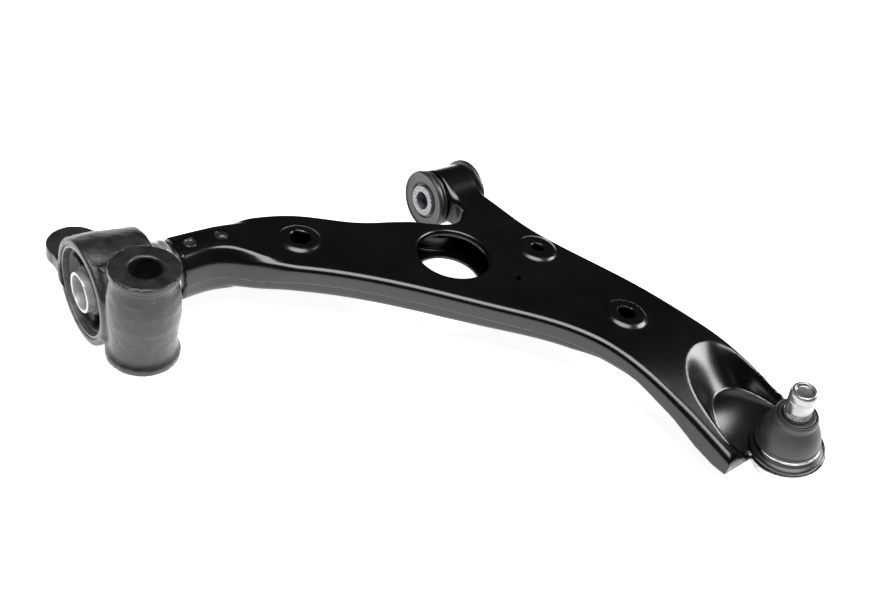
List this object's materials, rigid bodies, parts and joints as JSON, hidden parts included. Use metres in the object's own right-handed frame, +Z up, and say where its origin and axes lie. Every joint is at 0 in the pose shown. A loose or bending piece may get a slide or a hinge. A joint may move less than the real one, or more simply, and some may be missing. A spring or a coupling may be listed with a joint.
{
  "type": "suspension control arm",
  "caption": "Two-shell pressed lower control arm with a front bush, a rear bush in a cast bolt-on bracket, and a booted ball joint with a pinch-bolt stud.",
  "frame": {"origin": "middle of the front bush, on the axis of its bolt", "axes": "+Y along the swing axis through both bushes, forward; +X outboard to the ball joint; +Z up along the bracket's bolt holes"},
  "size_m": [0.4108, 0.3857, 0.089],
  "materials": {
    "arm_paint": "gloss black stoving paint",
    "weld_paint": "weld bead under gloss black paint",
    "cast_paint": "rough casting under satin black paint",
    "zinc_steel": "bright zinc plate, satin",
    "pin_steel": "machined forging, oiled",
    "housing_steel": "black phosphated steel, satin",
    "stud_steel": "bright machined steel",
    "clip_wire": "bright spring wire",
    "bush_rubber": "moulded black rubber, matt",
    "boot_rubber": "moulded black rubber, soft sheen",
    "seat_polymer": "natural acetal"
  },
  "bodies": {
    "arm": {"upper_shell": "arm_paint", "lower_shell": "arm_paint", "seam_weld": "weld_paint", "front_eye_tube": "arm_paint", "front_bush_outer_sleeve": "zinc_steel", "front_bush_rubber": "bush_rubber", "rear_pin": "pin_steel", "rear_pin_collar": "zinc_steel", "pin_plug_welds": "weld_paint", "rear_bush_inner_sleeve": "zinc_steel", "ball_joint_housing": "housing_steel", "ball_seat": "seat_polymer", "ball_joint_end_cap": "zinc_steel", "boot_base_clip": "clip_wire"},
    "front_sleeve": {"front_bush_inner_sleeve": "zinc_steel"},
    "bracket": {"rear_bracket": "cast_paint", "rear_bush_outer_sleeve": "zinc_steel", "rear_bush_rubber": "bush_rubber"},
    "boot_lean": {"dust_boot": "boot_rubber"},
    "boot_neck": {"boot_neck_ring": "housing_steel"},
    "stud": {"ball_stud": "stud_steel"}
  },
  "joints": [
    {"name": "front_bush_twist", "type": "hinge", "parent": "arm", "child": "front_sleeve", "pos_m": [0, 0, 0], "axis": [0, 1, 0], "range_deg": [-20, 20], "stiffness_Nm_per_rad": 60},
    {"name": "rear_bush_twist", "type": "hinge", "parent": "arm", "child": "bracket", "pos_m": [0, -0.2765, 0], "axis": [0, 1, 0], "range_deg": [-20, 20], "stiffness_Nm_per_rad": 90},
    {"name": "stud_fore_aft", "type": "hinge", "parent": "arm", "child": "boot_lean", "pos_m": [0.31393, 0.0523, -0.01323], "axis": [0.9967, -0.0162, 0.0793], "range_deg": [-16, 16], "deforming": ["dust_boot"]},
    {"name": "stud_side_to_side", "type": "hinge", "parent": "boot_lean", "child": "boot_neck", "pos_m": [0.31393, 0.0523, -0.01323], "axis": [0, 0.9797, 0.2005], "range_deg": [-16, 16]},
    {"name": "stud_swivel", "type": "hinge", "parent": "boot_neck", "child": "stud", "pos_m": [0.31393, 0.0523, -0.01323], "axis": [-0.081, -0.1999, 0.9765], "continuous": true}
  ]
}
